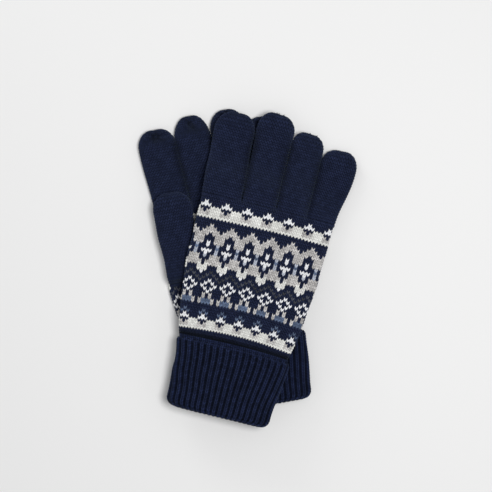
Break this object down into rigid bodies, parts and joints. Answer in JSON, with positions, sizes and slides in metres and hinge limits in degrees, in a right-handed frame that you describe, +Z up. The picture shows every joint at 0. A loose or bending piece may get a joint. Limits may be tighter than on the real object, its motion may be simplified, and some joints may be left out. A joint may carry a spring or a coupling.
{
  "type": "pair of knitted gloves",
  "caption": "Knitted winter gloves lying as a pair, one palm up under the other, with plain fingers, a banded colourwork hand and turned-up ribbed cuffs.",
  "frame": {"origin": "on the table, below the middle of the pair's bounding box", "axes": "+Z up from the table, +Y towards the fingertips, along the pair's length; the gloves lean 14 degrees clockwise and 10 degrees anticlockwise from +Y"},
  "size_m": [0.1736, 0.256, 0.028],
  "materials": {
    "patterned_knit": "matte stranded colourwork knit",
    "plain_knit": "matte stocking-stitch wool knit",
    "ribbed_knit": "matte one-by-one rib wool knit"
  },
  "bodies": {
    "left_hand": {"left_hand": "patterned_knit", "left_cuff": "ribbed_knit"},
    "left_index_finger": {"left_index_finger": "plain_knit", "left_index_tip_gather": "plain_knit"},
    "left_middle_finger": {"left_middle_finger": "plain_knit", "left_middle_tip_gather": "plain_knit"},
    "left_ring_finger": {"left_ring_finger": "plain_knit", "left_ring_tip_gather": "plain_knit"},
    "left_little_finger": {"left_little_finger": "plain_knit", "left_little_tip_gather": "plain_knit"},
    "left_thumb": {"left_thumb": "plain_knit", "left_thumb_tip_gather": "plain_knit"},
    "left_turn_up": {"left_turn_up": "ribbed_knit"},
    "right_hand": {"right_hand": "patterned_knit", "right_cuff": "ribbed_knit"},
    "right_index_finger": {"right_index_finger": "plain_knit", "right_index_tip_gather": "plain_knit"},
    "right_middle_finger": {"right_middle_finger": "plain_knit", "right_middle_tip_gather": "plain_knit"},
    "right_ring_finger": {"right_ring_finger": "plain_knit", "right_ring_tip_gather": "plain_knit"},
    "right_little_finger": {"right_little_finger": "plain_knit", "right_little_tip_gather": "plain_knit"},
    "right_thumb": {"right_thumb": "plain_knit", "right_thumb_tip_gather": "plain_knit"},
    "right_turn_up": {"right_turn_up": "ribbed_knit"}
  },
  "joints": [
    {"name": "right_glove_lift", "type": "slide", "parent": "left_hand", "child": "right_hand", "axis": [0, 0, 1], "range_m": [0, 0.12]},
    {"name": "left_index_droop", "type": "hinge", "parent": "left_hand", "child": "left_index_finger", "pos_m": [-0.06124, 0.05218, -0.0002], "axis": [0.9848, 0.1736, 0], "range_deg": [-70, 0]},
    {"name": "left_middle_droop", "type": "hinge", "parent": "left_hand", "child": "left_middle_finger", "pos_m": [-0.03229, 0.05728, -0.0002], "axis": [0.9848, 0.1736, 0], "range_deg": [-70, 0]},
    {"name": "left_ring_droop", "type": "hinge", "parent": "left_hand", "child": "left_ring_finger", "pos_m": [-0.00422, 0.06223, -0.0002], "axis": [0.9848, 0.1736, 0], "range_deg": [-70, 0]},
    {"name": "left_little_droop", "type": "hinge", "parent": "left_hand", "child": "left_little_finger", "pos_m": [0.02163, 0.06679, -0.0002], "axis": [0.9848, 0.1736, 0], "range_deg": [-70, 0]},
    {"name": "right_index_fold", "type": "hinge", "parent": "right_hand", "child": "right_index_finger", "pos_m": [-0.02048, 0.05918, 0.0258], "axis": [0.9703, -0.2419, 0], "range_deg": [0, 85]},
    {"name": "right_middle_fold", "type": "hinge", "parent": "right_hand", "child": "right_middle_finger", "pos_m": [0.00897, 0.05184, 0.0258], "axis": [0.9703, -0.2419, 0], "range_deg": [0, 85]},
    {"name": "right_ring_fold", "type": "hinge", "parent": "right_hand", "child": "right_ring_finger", "pos_m": [0.03498, 0.04536, 0.02472], "axis": [0.9703, -0.2419, 0], "range_deg": [0, 85]},
    {"name": "right_little_fold", "type": "hinge", "parent": "right_hand", "child": "right_little_finger", "pos_m": [0.0588, 0.03942, 0.01741], "axis": [0.9703, -0.2419, 0], "range_deg": [0, 85]},
    {"name": "left_thumb_spread", "type": "hinge", "parent": "left_hand", "child": "left_thumb", "pos_m": [-0.05879, -0.01065, 0.0125], "axis": [0, 0, 1], "range_deg": [0, 60]},
    {"name": "right_thumb_swing", "type": "hinge", "parent": "right_hand", "child": "right_thumb", "pos_m": [-0.02977, -0.00477, 0.013], "axis": [0, 0, -1], "range_deg": [0, 10]},
    {"name": "left_cuff_unroll", "type": "slide", "parent": "left_hand", "child": "left_turn_up", "axis": [0.1736, -0.9848, 0], "range_m": [0, 0.05]},
    {"name": "right_cuff_unroll", "type": "slide", "parent": "right_hand", "child": "right_turn_up", "axis": [-0.2419, -0.9703, 0], "range_m": [0, 0.05]}
  ]
}
